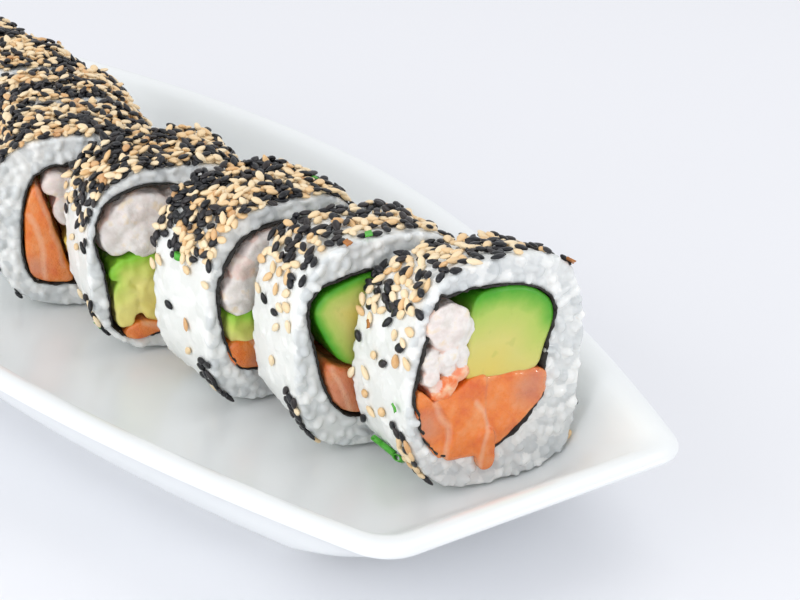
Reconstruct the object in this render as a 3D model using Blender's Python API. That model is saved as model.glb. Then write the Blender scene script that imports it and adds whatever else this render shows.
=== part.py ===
"""Inside-out roll cut in eight, in a row on its long boat-shaped porcelain plate.

Metres, +Z up.  The origin is the middle of the plate on the surface it stands on, +X runs
along the plate towards slice 1, and the row of slices ends at slice 8 towards -X.
Each slice is a ring of rice, a band of nori inside it, and avocado, salmon and shrimp that
run right through from cut to cut.
"""
import math
from collections import namedtuple

import bmesh
import bpy

MM = 0.001

# Plate
HALF_LENGTH = 0.1688
HALF_WIDTH_MIDDLE = 0.0771
HALF_WIDTH_END = 0.0380
SIDE_CURVE = 1.80        # power of the long side's curve: 2 is a parabola
RIM_HEIGHT = 0.0269
FLOOR_HEIGHT = 0.0070
RIM_CORNER = 0.0100      # corner radius at the rim
WELL_CORNER = 0.0140     # corner radius of the well and of the foot
FOOT_INSET = 0.0245      # from the long sides' rim in to the outside of the foot
FOOT_END = 0.0160        # how much further in the foot lies at the two ends
FOOT_HEIGHT = 0.0022
SIDE_POINTS = 20
END_POINTS = 4
CORNER_POINTS = 5

# Slices
GAP = 0.3 * MM           # clearance between pieces that touch in the real dish
NORI = 0.6 * MM          # two overlapping turns of the sheet
CUT_EDGE = 0.8 * MM      # softened edge between a cut face and the side
RING_POINTS = 32         # points around a slice's outline

# The filling's outline and its two dividing lines, in mm on the cut face: x to the right,
# y up from the slice's underside.  What lies left of the first line is the first filling.
# Of the rest, what lies left of the second line is the second filling.
Filling = namedtuple("Filling", "outline names first second")

SALMON_BELOW = Filling(
    outline=[(-20, 45), (-13, 49), (0, 49), (11, 46), (15, 40), (12, 30), (13.5, 20),
             (4, 9), (-10, 8.5), (-17, 12), (-21, 24), (-21, 36)],
    names=("salmon", "shrimp", "avocado"),
    first=((13, 25.5), (-20, 27.5)),
    second=((-8.5, 27), (-5.5, 47.5)))
AVOCADO_CORNER = Filling(
    outline=[(-20, 38), (-15, 43), (0, 45), (12, 43), (16, 36), (14, 20), (5, 8.5),
             (-9, 7.5), (-15, 16), (-17, 26)],
    names=("salmon", "avocado", "shrimp"),
    first=((14, 19), (-16, 25.5)),
    second=((5, 22), (3, 44)))
SHRIMP_ABOVE = Filling(
    outline=[(-19.5, 33), (-13, 44), (-2, 45.5), (10, 44), (16, 37), (16, 20), (10, 9),
             (-12, 8), (-16.5, 15), (-18.5, 24)],
    names=("shrimp", "salmon", "avocado"),
    first=((-18, 25), (15, 23)),
    second=((15, 17), (-17, 17.5)))
AVOCADO_MIDDLE = Filling(
    outline=[(-21.5, 34), (-18, 41), (-8, 45), (3, 43.5), (13, 38), (15, 26), (13, 11),
             (3, 6), (-12, 2.6), (-17.5, 7), (-17.5, 19)],
    names=("shrimp", "salmon", "avocado"),
    first=((-20, 26.5), (14, 24)),
    second=((13, 9), (-17, 8)))
SALMON_UPRIGHT = Filling(
    outline=[(-16, 10), (-15.5, 28), (-12, 38), (-3, 40.5), (9, 40), (16, 33), (16, 18),
             (10, 7.5), (-9, 5.5)],
    names=("salmon", "shrimp", "avocado"),
    first=((-1, 7), (-10.5, 37)),
    second=((-8, 22), (15, 22)))

# x, y: middle of the front cut face, in mm on the plate; turn: degrees the face is turned
# towards -Y; taper: how much lower the rear is than the front, as a share of the height;
# square: how square the outline's corners are, from top right anticlockwise
Slice = namedtuple("Slice", "x y turn width height depth taper square filling")

SLICES = [
    Slice(133.2, 15.5, 5.6, 44.5, 54.5, 25.0, 0.115, (3.0, 2.9, 2.6, 4.2), SALMON_BELOW),
    Slice(105.6, 5.3, 8.5, 43.3, 51.2, 25.0, 0.055, (3.2, 3.0, 2.8, 3.4), AVOCADO_CORNER),
    Slice(73.7, 0.0, -0.8, 43.3, 49.5, 25.6, 0.0, (3.4, 2.8, 3.0, 3.2), SHRIMP_ABOVE),
    Slice(38.0, -9.5, 13.0, 44.3, 48.0, 25.0, 0.0, (3.4, 3.0, 2.7, 3.2), AVOCADO_MIDDLE),
    Slice(4.5, -18.5, 22.0, 45.0, 47.0, 25.0, 0.0, (3.2, 3.0, 2.8, 3.2), SALMON_UPRIGHT),
    Slice(-22.8, -7.7, 15.0, 43.3, 47.0, 25.0, 0.0, (3.0, 3.2, 3.0, 2.8), SHRIMP_ABOVE),
    Slice(-52.0, -6.0, 9.0, 43.3, 47.0, 25.0, 0.0, (3.2, 2.9, 2.9, 3.1), AVOCADO_CORNER),
    Slice(-81.0, -6.5, 3.0, 43.3, 47.0, 25.6, 0.0, (3.1, 3.1, 2.8, 3.0), SHRIMP_ABOVE),
]

# Principled colour (linear), roughness
FINISHES = {
    "porcelain": ((0.83, 0.84, 0.84), 0.12),
    "rice": ((0.80, 0.79, 0.74), 0.45),
    "nori": ((0.012, 0.013, 0.009), 0.55),
    "avocado": ((0.50, 0.55, 0.12), 0.40),
    "salmon": ((0.78, 0.22, 0.06), 0.30),
    "shrimp": ((0.84, 0.70, 0.60), 0.30),
}


def remove_everything():
    for old in list(bpy.data.objects):
        bpy.data.objects.remove(old, do_unlink=True)


def finish(name):
    """The material of that name, made the first time it is asked for."""
    material = bpy.data.materials.get(name)
    if material:
        return material
    material = bpy.data.materials.new(name)
    material.use_nodes = True
    colour, roughness = FINISHES[name]
    shader = material.node_tree.nodes["Principled BSDF"]
    shader.inputs["Base Color"].default_value = (*colour, 1.0)
    shader.inputs["Roughness"].default_value = roughness
    shader.inputs["Metallic"].default_value = 0.0
    return material


def add_object(name, bm, material, parent=None):
    bmesh.ops.recalc_face_normals(bm, faces=bm.faces)
    mesh = bpy.data.meshes.new(name)
    bm.to_mesh(mesh)
    bm.free()
    mesh.materials.append(finish(material))
    mesh.shade_smooth()
    mesh.set_sharp_from_angle(angle=math.radians(35))
    obj = bpy.data.objects.new(name, mesh)
    bpy.context.scene.collection.objects.link(obj)
    obj.parent = parent
    return obj


def add_loop(bm, points):
    return [bm.verts.new(point) for point in points]


def join_loops(bm, loops, closed):
    """Walls between neighbouring loops, and from the last back to the first if closed."""
    pairs = list(zip(loops, loops[1:]))
    if closed:
        pairs.append((loops[-1], loops[0]))
    for one, other in pairs:
        for i in range(len(one)):
            bm.faces.new((one[i - 1], one[i], other[i], other[i - 1]))


# ---------------------------------------------------------------- plate

def side_y(x):
    """Half-width of the plate at x: curved long sides between straight ends."""
    bow = 1.0 - abs(x / HALF_LENGTH) ** SIDE_CURVE
    return HALF_WIDTH_END + (HALF_WIDTH_MIDDLE - HALF_WIDTH_END) * bow


def side_normal(x):
    """Outward direction of the +Y long side at x."""
    step = 0.1 * MM
    slope = (side_y(x + step) - side_y(x - step)) / (2 * step)
    length = math.hypot(slope, 1.0)
    return -slope / length, 1.0 / length


def inset_side(x, inset):
    """The long side's point at x, moved square to the side by the inset."""
    normal = side_normal(x)
    return x - normal[0] * inset, side_y(x) - normal[1] * inset


def corner_start(inset, extra):
    """x on the rim whose inset point reaches the end line."""
    low, high = 0.0, HALF_LENGTH + inset
    for _ in range(40):
        middle = (low + high) / 2
        if inset_side(middle, inset)[0] < HALF_LENGTH - inset - extra:
            low = middle
        else:
            high = middle
    return low


def plate_quarter(inset, extra, corner):
    """One quarter of the outline, from the end line at y = 0 to the middle of the side.
    The long sides lie in from the rim by the inset, the ends by the extra as well."""
    start = corner_start(inset + corner, extra)
    centre = inset_side(start, inset + corner)
    normal = side_normal(start)
    sweep = math.atan2(normal[1], normal[0])
    end_x = HALF_LENGTH - inset - extra
    points = [(end_x, centre[1] * i / END_POINTS) for i in range(END_POINTS)]
    for i in range(CORNER_POINTS + 1):
        angle = sweep * i / CORNER_POINTS
        points.append((centre[0] + corner * math.cos(angle),
                       centre[1] + corner * math.sin(angle)))
    half = SIDE_POINTS // 2
    for i in range(1, half + 1):
        points.append(inset_side(start * (1 - i / half), inset))
    return points


def plate_outline(inset, extra, corner):
    quarter = plate_quarter(inset, extra, corner)
    left = [(-x, y) for x, y in reversed(quarter[:-1])]
    top = quarter + left
    bottom = [(x, -y) for x, y in reversed(top[1:-1])]
    return top + bottom


def plate_section():
    """(inset, extra at the ends, height) from the foot's recess round the rim to the floor.
    The walls under the rim flare out at a low slope at the ends, more steeply at the sides."""
    foot = FOOT_INSET
    rise = RIM_HEIGHT
    under = [
        (foot + 8 * MM, FOOT_END, 1.6 * MM),
        (foot + 6.5 * MM, FOOT_END, 0.5 * MM),
        (foot + 5 * MM, FOOT_END, 0.0),
        (foot + 0.8 * MM, FOOT_END, 0.0),
        (foot, FOOT_END, 0.7 * MM),
        (foot - 0.6 * MM, FOOT_END, FOOT_HEIGHT),
        (foot - 2.5 * MM, FOOT_END - 0.6 * MM, FOOT_HEIGHT + 1.2 * MM),
        (foot - 6.9 * MM, FOOT_END - 1.4 * MM, FOOT_HEIGHT + 3.8 * MM),
        (foot - 11.3 * MM, FOOT_END - 3.6 * MM, FOOT_HEIGHT + 7.8 * MM),
    ]
    rim = [
        (9.7 * MM, 8.8 * MM, rise - 12.7 * MM),
        (7.1 * MM, 5.2 * MM, rise - 9.2 * MM),
        (4.2 * MM, 1.8 * MM, rise - 5.7 * MM),
        (1.4 * MM, 0.0, rise - 3.1 * MM),
        (0.0, 0.0, rise - 1.6 * MM),
        (0.6 * MM, 0.0, rise - 0.5 * MM),
        (2.2 * MM, 0.0, rise),
        (4.3 * MM, 0.0, rise - 0.1 * MM),
        (5.8 * MM, 0.0, rise - 0.8 * MM),
    ]
    well = [
        (7.2 * MM, 0.7 * MM, rise - 2.3 * MM),
        (8.9 * MM, 2.4 * MM, rise - 5.3 * MM),
        (10.7 * MM, 6.4 * MM, FLOOR_HEIGHT + 10.6 * MM),
        (13.2 * MM, 9.0 * MM, FLOOR_HEIGHT + 6.5 * MM),
        (16.2 * MM, 9.6 * MM, FLOOR_HEIGHT + 3.4 * MM),
        (20.0 * MM, 8.4 * MM, FLOOR_HEIGHT + 1.3 * MM),
        (24.5 * MM, 6.4 * MM, FLOOR_HEIGHT + 0.3 * MM),
        (29.0 * MM, 4.4 * MM, FLOOR_HEIGHT),
    ]
    return ([(*row, WELL_CORNER) for row in under]
            + [(*row, max(RIM_CORNER - row[0] * 0.3, 6 * MM)) for row in rim]
            + [(*row, WELL_CORNER) for row in well])


def add_plate():
    bm = bmesh.new()
    loops = []
    for inset, extra, height, corner in plate_section():
        outline = plate_outline(inset, extra, corner)
        loops.append(add_loop(bm, [(x, y, height) for x, y in outline]))
    join_loops(bm, loops, closed=False)
    bm.faces.new(loops[0])
    bm.faces.new(loops[-1])
    add_object("plate", bm, "porcelain")


# ---------------------------------------------------------------- slices

def signed_power(value, power):
    return math.copysign(abs(value) ** power, value)


def rice_outline(piece, shrink=0.0):
    """The slice's outline on its cut face: a soft rectangle with unequal corners."""
    half_width = piece.width * MM / 2 - shrink
    half_height = piece.height * MM / 2 - shrink
    points = []
    for i in range(RING_POINTS):
        angle = 2 * math.pi * i / RING_POINTS
        power = 2.0 / piece.square[i * 4 // RING_POINTS]
        points.append((half_width * signed_power(math.cos(angle), power),
                       half_height * signed_power(math.sin(angle), power)
                       + piece.height * MM / 2))
    return points


def rounded(corners):
    """Corner cutting, twice: each corner becomes a short curve."""
    for _ in range(2):
        cut = []
        for i, end in enumerate(corners):
            start = corners[i - 1]
            for share in (0.25, 0.75):
                cut.append(tuple(a + (b - a) * share for a, b in zip(start, end)))
        corners = cut
    return corners


def reach(outline, centre, direction):
    """Distance from centre to the outline in a direction."""
    best = 0.0
    for i, end in enumerate(outline):
        start = outline[i - 1]
        side = (end[0] - start[0], end[1] - start[1])
        to_start = (start[0] - centre[0], start[1] - centre[1])
        cross = direction[0] * side[1] - direction[1] * side[0]
        if abs(cross) < 1e-12:
            continue
        distance = (to_start[0] * side[1] - to_start[1] * side[0]) / cross
        share = (to_start[0] * direction[1] - to_start[1] * direction[0]) / cross
        if 0.0 <= share <= 1.0:
            best = max(best, distance)
    return best


def filling_outline(piece):
    """The filling's edge, one point in each of RING_POINTS directions from its middle."""
    outline = rounded([(x * MM, y * MM) for x, y in piece.filling.outline])
    centre = [sum(axis) / len(outline) for axis in zip(*outline)]
    points = []
    for x, y in rice_outline(piece):
        length = math.hypot(x - centre[0], y - centre[1])
        direction = ((x - centre[0]) / length, (y - centre[1]) / length)
        distance = reach(outline, centre, direction)
        points.append((centre[0] + direction[0] * distance,
                       centre[1] + direction[1] * distance))
    return points


def inset_loop(points, inset):
    """The loop moved inwards, square to its own edge at each point."""
    moved = []
    for i, (x, y) in enumerate(points):
        before = points[i - 1]
        after = points[(i + 1) % len(points)]
        along = (after[0] - before[0], after[1] - before[1])
        length = math.hypot(*along)
        moved.append((x - along[1] / length * inset, y + along[0] / length * inset))
    return moved


def left_part(outline, start, end):
    """The part of an outline left of a line, kept half a gap clear of it."""
    length = math.hypot(end[0] - start[0], end[1] - start[1])
    normal = ((start[1] - end[1]) / length, (end[0] - start[0]) / length)

    def height(point):
        across = (point[0] - start[0]) * normal[0] + (point[1] - start[1]) * normal[1]
        return across - GAP / 2

    kept = []
    for i, point in enumerate(outline):
        before = outline[i - 1]
        high = height(point)
        low = height(before)
        if (high > 0) != (low > 0):
            share = low / (low - high)
            kept.append(tuple(a + (b - a) * share for a, b in zip(before, point)))
        if high > 0:
            kept.append(point)
    return kept


def divide(outline, line):
    start, end = [(x * MM, y * MM) for x, y in line]
    return left_part(outline, start, end), left_part(outline, end, start)


def on_face(outline, depth):
    """Points of an outline on a plane that lies a depth behind the front cut."""
    return [(-depth, x, y) for x, y in outline]


def add_ring(name, sections, material, parent):
    """A closed ring from (outline, depth) sections, in order around its wall."""
    bm = bmesh.new()
    loops = [add_loop(bm, on_face(outline, depth)) for outline, depth in sections]
    join_loops(bm, loops, closed=True)
    add_object(name, bm, material, parent)


def add_filling(name, outline, depth, material, parent):
    bm = bmesh.new()
    face = bm.faces.new([bm.verts.new(point) for point in on_face(outline, 0.0)])
    extruded = bmesh.ops.extrude_face_region(bm, geom=[face])["geom"]
    back = [item for item in extruded if isinstance(item, bmesh.types.BMVert)]
    bmesh.ops.translate(bm, verts=back, vec=(-depth, 0.0, 0.0))
    add_object(name, bm, material, parent)


def lower_rear(mesh, taper, depth):
    """Heights shrink evenly from the front cut face to the rear one."""
    for vertex in mesh.vertices:
        vertex.co.z *= 1.0 + taper * vertex.co.x / depth


def add_slice(number, piece):
    place = bpy.data.objects.new(f"slice_{number}", None)
    bpy.context.scene.collection.objects.link(place)
    place.location = (piece.x * MM, piece.y * MM, FLOOR_HEIGHT + GAP)
    place.rotation_euler = (0.0, 0.0, -math.radians(piece.turn))
    depth = piece.depth * MM

    side = rice_outline(piece)
    edge = rice_outline(piece, CUT_EDGE)
    hole = filling_outline(piece)
    add_ring(f"rice_{number}",
             [(edge, 0.0), (side, CUT_EDGE), (side, depth - CUT_EDGE), (edge, depth),
              (hole, depth), (hole, 0.0)], "rice", place)

    nori_outside = inset_loop(hole, GAP)
    nori_inside = inset_loop(hole, GAP + NORI)
    add_ring(f"nori_{number}",
             [(nori_outside, 0.0), (nori_outside, depth), (nori_inside, depth),
              (nori_inside, 0.0)], "nori", place)

    space = inset_loop(hole, 2 * GAP + NORI)
    first, rest = divide(space, piece.filling.first)
    second, third = divide(rest, piece.filling.second)
    for name, outline in zip(piece.filling.names, (first, second, third)):
        add_filling(f"{name}_{number}", outline, depth, name, place)
    for child in place.children:
        lower_rear(child.data, piece.taper, depth)


def main():
    remove_everything()
    add_plate()
    for number, piece in enumerate(SLICES, start=1):
        add_slice(number, piece)


main()
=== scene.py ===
# Looks of the inside-out roll on its long plate: glazed porcelain, pressed rice in real grains,
# crinkled nori, avocado, salmon, shrimp, and sesame seed of two colours.
import math

import bmesh
import bpy
import numpy as np
from mathutils import Matrix, Vector, kdtree, noise


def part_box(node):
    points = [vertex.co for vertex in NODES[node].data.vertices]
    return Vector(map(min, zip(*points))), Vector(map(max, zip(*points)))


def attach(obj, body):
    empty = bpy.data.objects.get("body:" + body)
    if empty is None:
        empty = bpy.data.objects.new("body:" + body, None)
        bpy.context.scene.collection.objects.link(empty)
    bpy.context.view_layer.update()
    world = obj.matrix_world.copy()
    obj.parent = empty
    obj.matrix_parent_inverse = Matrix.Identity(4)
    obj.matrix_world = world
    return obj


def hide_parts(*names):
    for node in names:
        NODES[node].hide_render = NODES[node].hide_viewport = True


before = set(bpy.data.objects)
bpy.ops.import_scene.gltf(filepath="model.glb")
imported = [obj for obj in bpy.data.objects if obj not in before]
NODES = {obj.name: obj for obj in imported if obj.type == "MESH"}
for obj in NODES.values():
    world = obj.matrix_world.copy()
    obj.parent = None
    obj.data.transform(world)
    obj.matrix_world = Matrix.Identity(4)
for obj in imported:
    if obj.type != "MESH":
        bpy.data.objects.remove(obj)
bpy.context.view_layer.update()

MM = 0.001
SLICE_COUNT = sum(name.startswith("rice_") for name in NODES)
RNG = np.random.default_rng(8)
noise.seed_set(8)

# Camera: where it looks, from where in metres and degrees, and its lens; and the floor's half
LOOK_AT = (0.0664, 0.0379, 0.0200)
CAMERA_DISTANCE = 0.4503
CAMERA_AZIMUTH = 53.65
CAMERA_ELEVATION = 24.82
CAMERA_ROLL = 2.12
LENS_MM = 80.96
FLOOR_HALF = 3.0

# Plate, on the frame's plate box
PLATE_LOW, PLATE_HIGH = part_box("plate")
HALF_LENGTH = PLATE_HIGH.x
HALF_WIDTH_MIDDLE = PLATE_HIGH.y
HALF_WIDTH_END = 0.0380
SIDE_CURVE = 1.80
RIM_HEIGHT = PLATE_HIGH.z
FLOOR_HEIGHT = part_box("rice_1")[0].z - 0.3 * MM
FOOT_INSET = 0.0245
FOOT_END = 0.0160

# Rice: a cooked short grain, and how it is pressed
GRAIN_LENGTH = 5.2 * MM
GRAIN_WIDTH = 2.5 * MM
CORE_INSET = 0.22 * MM
GRAIN_SPACING_SIDE = 2.7 * MM
GRAIN_SPACING_CUT = 2.15 * MM
SIDE_TRIES = 5200
CUT_TRIES = 4200
NORI_INSET = 0.35 * MM

# Sesame seed
SEED_LENGTH = 3.2 * MM
SEED_WIDTH = 2.05 * MM
SEED_THICKNESS = 1.15 * MM


# ---------------------------------------------------------------- small helpers

def linear(code):
    """An sRGB hex colour as linear RGBA."""
    values = [int(code[i:i + 2], 16) / 255 for i in (1, 3, 5)]
    return (*[v / 12.92 if v <= 0.04045 else ((v + 0.055) / 1.055) ** 2.4 for v in values], 1.0)


def smoothstep(low, high, value):
    share = np.clip((value - low) / (high - low), 0.0, 1.0)
    return share * share * (3.0 - 2.0 * share)


def connect(tree, node, inputs):
    """Sets a node's inputs. Each takes a number, a hex colour, a socket, or another node, whose
    first live output is linked."""
    for key, value in inputs.items():
        socket = node.inputs[key] if isinstance(key, int) else next(
            socket for socket in node.inputs if socket.enabled and socket.name == key)
        if isinstance(value, bpy.types.Node):
            value = next(output for output in value.outputs if output.enabled)
        if isinstance(value, bpy.types.NodeSocket):
            tree.links.new(value, socket)
        else:
            socket.default_value = linear(value) if isinstance(value, str) else value


def add_node(tree, kind, settings=None, inputs=None, stops=()):
    """A shader node with its settings, its inputs and, for a colour ramp, its stops."""
    node = tree.nodes.new("ShaderNode" + kind)
    for name, value in (settings or {}).items():
        setattr(node, name, value)
    for _ in stops[2:]:
        node.color_ramp.elements.new(0.5)
    for element, (position, code) in zip(node.color_ramp.elements if stops else (), stops):
        element.position = position
        element.color = linear(code)
    connect(tree, node, inputs or {})
    return node


def per_metre(size_mm):
    """The scale of a noise whose lumps are about so many mm across."""
    return 1.0 / (size_mm * MM)


def new_material(name, surface, relief=None):
    """A material, its tree, its shader with values that are the same all over, and the point in
    the part's own frame. Relief is its lumps' size in mm, their detail and roughness, its depth
    in mm and its strength."""
    material = bpy.data.materials.new(name)
    material.use_nodes = True
    tree = material.node_tree
    shader = tree.nodes["Principled BSDF"]
    connect(tree, shader, surface)
    point = add_node(tree, "TexCoord").outputs["Object"]
    if relief:
        size, detail, rough, depth, strength = relief
        lumps = add_node(tree, "TexNoise", {}, {
            "Vector": point, "Scale": per_metre(size), "Detail": detail, "Roughness": rough})
        bump = add_node(tree, "Bump", {}, {
            "Height": lumps, "Distance": depth * MM, "Strength": strength})
        connect(tree, shader, {"Normal": bump})
    return material, tree, shader, point


def two_toned(name, surface, lumps, tints, relief=None):
    """A material of two tints mixed in soft lumps of a size in mm and a detail."""
    material, tree, shader, point = new_material(name, surface, relief)
    size, detail = lumps
    clouds = add_node(tree, "TexNoise", {}, {
        "Vector": point, "Scale": per_metre(size), "Detail": detail})
    body = add_node(tree, "Mix", COLOUR, {"Factor": clouds, "A": tints[0], "B": tints[1]})
    connect(tree, shader, {"Base Color": body})
    return material


def as_arrays(bm):
    """A bmesh's points and faces; the bmesh ends here."""
    points = np.array([vertex.co for vertex in bm.verts])
    faces = [tuple(vertex.index for vertex in face.verts) for face in bm.faces]
    bm.free()
    return points, faces


def loft(bm, loops, closed=False):
    """A skin drawn out from the first loop of points through the others in turn, and back to
    the first if it closes. Gives back the loops' own corners."""
    ring = [bm.verts.new(point) for point in loops[0]]
    edges = [bm.edges.new((ring[i - 1], ring[i])) for i in range(len(ring))]
    rings = [ring]
    for loop in loops[1:] + loops[:1] * closed:
        drawn = bmesh.ops.extrude_edge_only(bm, edges=edges)["geom"]
        edges = [item for item in drawn if isinstance(item, bmesh.types.BMEdge)]
        ends = {vertex for edge in edges for vertex in edge.verts}
        around = set(edges)
        pairs = {edge.other_vert(vertex): vertex
                 for vertex in ends for edge in vertex.link_edges if edge not in around}
        ring = [pairs[vertex] for vertex in ring]
        for vertex, point in zip(ring, loop):
            vertex.co = point
        rings.append(ring)
    if closed:
        bmesh.ops.weld_verts(bm, targetmap=dict(zip(rings.pop(), rings[0])))
    bm.verts.index_update()
    return rings


def add_mesh(name, points, faces, material, floats=None, smooth=True):
    """A mesh object, with per-point values as attributes."""
    mesh = bpy.data.meshes.new(name)
    mesh.from_pydata([tuple(p) for p in points], [], faces)
    mesh.validate()
    mesh.materials.append(material)
    for key, values in (floats or {}).items():
        layer = mesh.attributes.new(key, "FLOAT", "POINT")
        layer.data.foreach_set("value", np.asarray(values, np.float32))
    if smooth:
        mesh.shade_smooth()
    obj = bpy.data.objects.new(name, mesh)
    bpy.context.scene.collection.objects.link(obj)
    return obj


def keep(obj, slot, *nodes):
    """The piece rides with the part and stands for its CAD nodes. Its slot is not used."""
    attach(obj, "root")
    if nodes:
        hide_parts(*nodes)


# ---------------------------------------------------------------- closed curves

def resample(points, count):
    """Evenly spaced points on a smooth closed curve through the given points."""
    points = np.asarray(points, float)
    p0, p1, p2, p3 = (np.roll(points, k, axis=0) for k in (1, 0, -1, -2))
    steps = np.linspace(0, 1, 12, endpoint=False)[:, None, None]
    dense = 0.5 * (2 * p1 + (p2 - p0) * steps + (2 * p0 - 5 * p1 + 4 * p2 - p3) * steps ** 2
                   + (3 * p1 - p0 - 3 * p2 + p3) * steps ** 3)
    dense = dense.transpose(1, 0, 2).reshape(-1, 2)
    closed = np.vstack([dense, dense[:1]])
    length = np.concatenate([[0], np.cumsum(np.linalg.norm(np.diff(closed, axis=0), axis=1))])
    at = np.linspace(0, length[-1], count, endpoint=False)
    return np.stack([np.interp(at, length, closed[:, k]) for k in (0, 1)], axis=1)


def outward(points):
    """Unit normals of an anticlockwise closed curve."""
    along = np.roll(points, -1, axis=0) - np.roll(points, 1, axis=0)
    along /= np.linalg.norm(along, axis=1)[:, None]
    return np.stack([along[:, 1], -along[:, 0]], axis=1)


def inside(points, polygon):
    """Which points lie inside a polygon."""
    points = np.atleast_2d(points)
    result = np.zeros(len(points), bool)
    for (x1, y1), (x2, y2) in zip(polygon, np.roll(polygon, -1, axis=0)):
        crosses = (y1 > points[:, 1]) != (y2 > points[:, 1])
        with np.errstate(divide="ignore", invalid="ignore"):
            at = (x2 - x1) * (points[:, 1] - y1) / (y2 - y1) + x1
        result ^= crosses & (points[:, 0] < at)
    return result


def edge_distance(points, polygon, closed=True):
    """Distance from each point to a polygon's edges, or to an open line."""
    points = np.atleast_2d(points)
    starts = np.asarray(polygon, float)
    ends = np.roll(starts, -1, axis=0)
    if not closed:
        starts, ends = starts[:-1], ends[:-1]
    best = np.full(len(points), np.inf)
    for a, b in zip(starts, ends):
        side = b - a
        share = np.clip(((points - a) @ side) / max(side @ side, 1e-12), 0, 1)
        best = np.minimum(best, np.linalg.norm(points - a - share[:, None] * side, axis=1))
    return best


# ---------------------------------------------------------------- the slices' own frames

# How a CAD slice is read: faces that look ahead, points on its front cut or just behind it, and
# how far out, against the outline, the corners of its hole may lie
FACES_AHEAD = 0.85
ON_CUT = 0.3 * MM
NEAR_CUT = 2.0 * MM
HOLE_REACH = 0.945


class Slice:
    """Where one slice stands: across its cut face, up, and back into its depth."""

    def __init__(self, number):
        self.number = number
        mesh = NODES[f"rice_{number}"].data
        points = np.unique(np.array([v.co for v in mesh.vertices]).round(7), axis=0)
        areas = {}
        for face in mesh.polygons:
            if face.normal.x > FACES_AHEAD:
                key = tuple(round(value, 3) for value in face.normal)
                areas[key] = areas.get(key, 0.0) + face.area
        self.front = np.array(Vector(max(areas, key=areas.get)).normalized())
        self.right = np.array((-self.front[1], self.front[0], 0.0))
        ahead = points @ self.front
        self.depth = ahead.max() - ahead.min()
        across = points @ self.right
        middle = (across.max() + across.min()) / 2
        self.base = self.right * middle + self.front * ahead.max()
        self.base[2] = points[:, 2].min()
        self.taper = 0.0
        local = self.local(points)
        at_front = local[local[:, 2] < ON_CUT][:, 1].max()
        at_rear = local[local[:, 2] > self.depth - ON_CUT][:, 1].max()
        self.taper = 1.0 - at_rear / at_front
        local = self.local(points)
        rim = local[(local[:, 2] > ON_CUT) & (local[:, 2] < NEAR_CUT)][:, :2]
        face = local[local[:, 2] < ON_CUT][:, :2]
        centre = face.mean(axis=0)
        rim = rim[np.argsort(np.arctan2(*(rim - centre).T[::-1]))]
        reach = np.array([np.linalg.norm(p - centre) / self.ray(rim, centre, p) for p in face])
        hole = face[reach < HOLE_REACH]
        hole = hole[np.argsort(np.arctan2(*(hole - centre).T[::-1]))]
        self.outline = resample(rim, 240)
        hole = resample(hole, 200)
        self.hole = hole - outward(hole) * NORI_INSET

    @staticmethod
    def ray(outline, centre, point):
        """How far the outline lies from the centre, in the direction of the point."""
        angles = np.unwrap(np.arctan2(*(outline - centre).T[::-1]))
        radii = np.linalg.norm(outline - centre, axis=1)
        angle = math.atan2(point[1] - centre[1], point[0] - centre[0])
        return np.interp(angle, angles, radii, period=2 * math.pi)

    def local(self, points):
        """(across, up, depth) of points in the part's frame."""
        moved = np.atleast_2d(points) - self.base
        depth = -(moved @ self.front)
        up = moved[:, 2] / (1.0 - self.taper * depth / self.depth)
        return np.stack([moved @ self.right, up, depth], axis=1)

    def world(self, local):
        local = np.atleast_2d(local)
        up = local[:, 1:2] * (1.0 - self.taper * local[:, 2:] / self.depth)
        return (self.base + local[:, :1] * self.right + local[:, 2:] * -self.front
                + up * np.array((0.0, 0.0, 1.0)))


# ---------------------------------------------------------------- plate

def side_y(x):
    bow = 1.0 - abs(x / HALF_LENGTH) ** SIDE_CURVE
    return HALF_WIDTH_END + (HALF_WIDTH_MIDDLE - HALF_WIDTH_END) * bow


def side_normal(x):
    """Outward direction of the +Y long side at x."""
    step = 0.1 * MM
    slope = (side_y(x + step) - side_y(x - step)) / (2 * step)
    length = math.hypot(slope, 1.0)
    return -slope / length, 1.0 / length


def inset_side(x, inset):
    normal = side_normal(x)
    return x - normal[0] * inset, side_y(x) - normal[1] * inset


def plate_outline(inset, extra, corner, side_points=90, end_points=14, corner_points=14):
    """The plate's outline moved in by an inset, the ends by the extra as well, its corners
    turned with a radius."""
    low, high = 0.0, HALF_LENGTH + inset + corner
    for _ in range(40):
        start = (low + high) / 2
        if inset_side(start, inset + corner)[0] < HALF_LENGTH - inset - extra - corner:
            low = start
        else:
            high = start
    centre = inset_side(start, inset + corner)
    normal = side_normal(start)
    sweep = math.atan2(normal[1], normal[0])
    end_x = HALF_LENGTH - inset - extra
    quarter = [(end_x, centre[1] * i / end_points) for i in range(end_points)]
    for i in range(corner_points + 1):
        angle = sweep * i / corner_points
        quarter.append((centre[0] + corner * math.cos(angle),
                        centre[1] + corner * math.sin(angle)))
    half = side_points // 2
    quarter += [inset_side(start * (1 - i / half), inset) for i in range(1, half + 1)]
    top = quarter + [(-x, y) for x, y in reversed(quarter[:-1])]
    return top + [(x, -y) for x, y in reversed(top[1:-1])]


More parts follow.
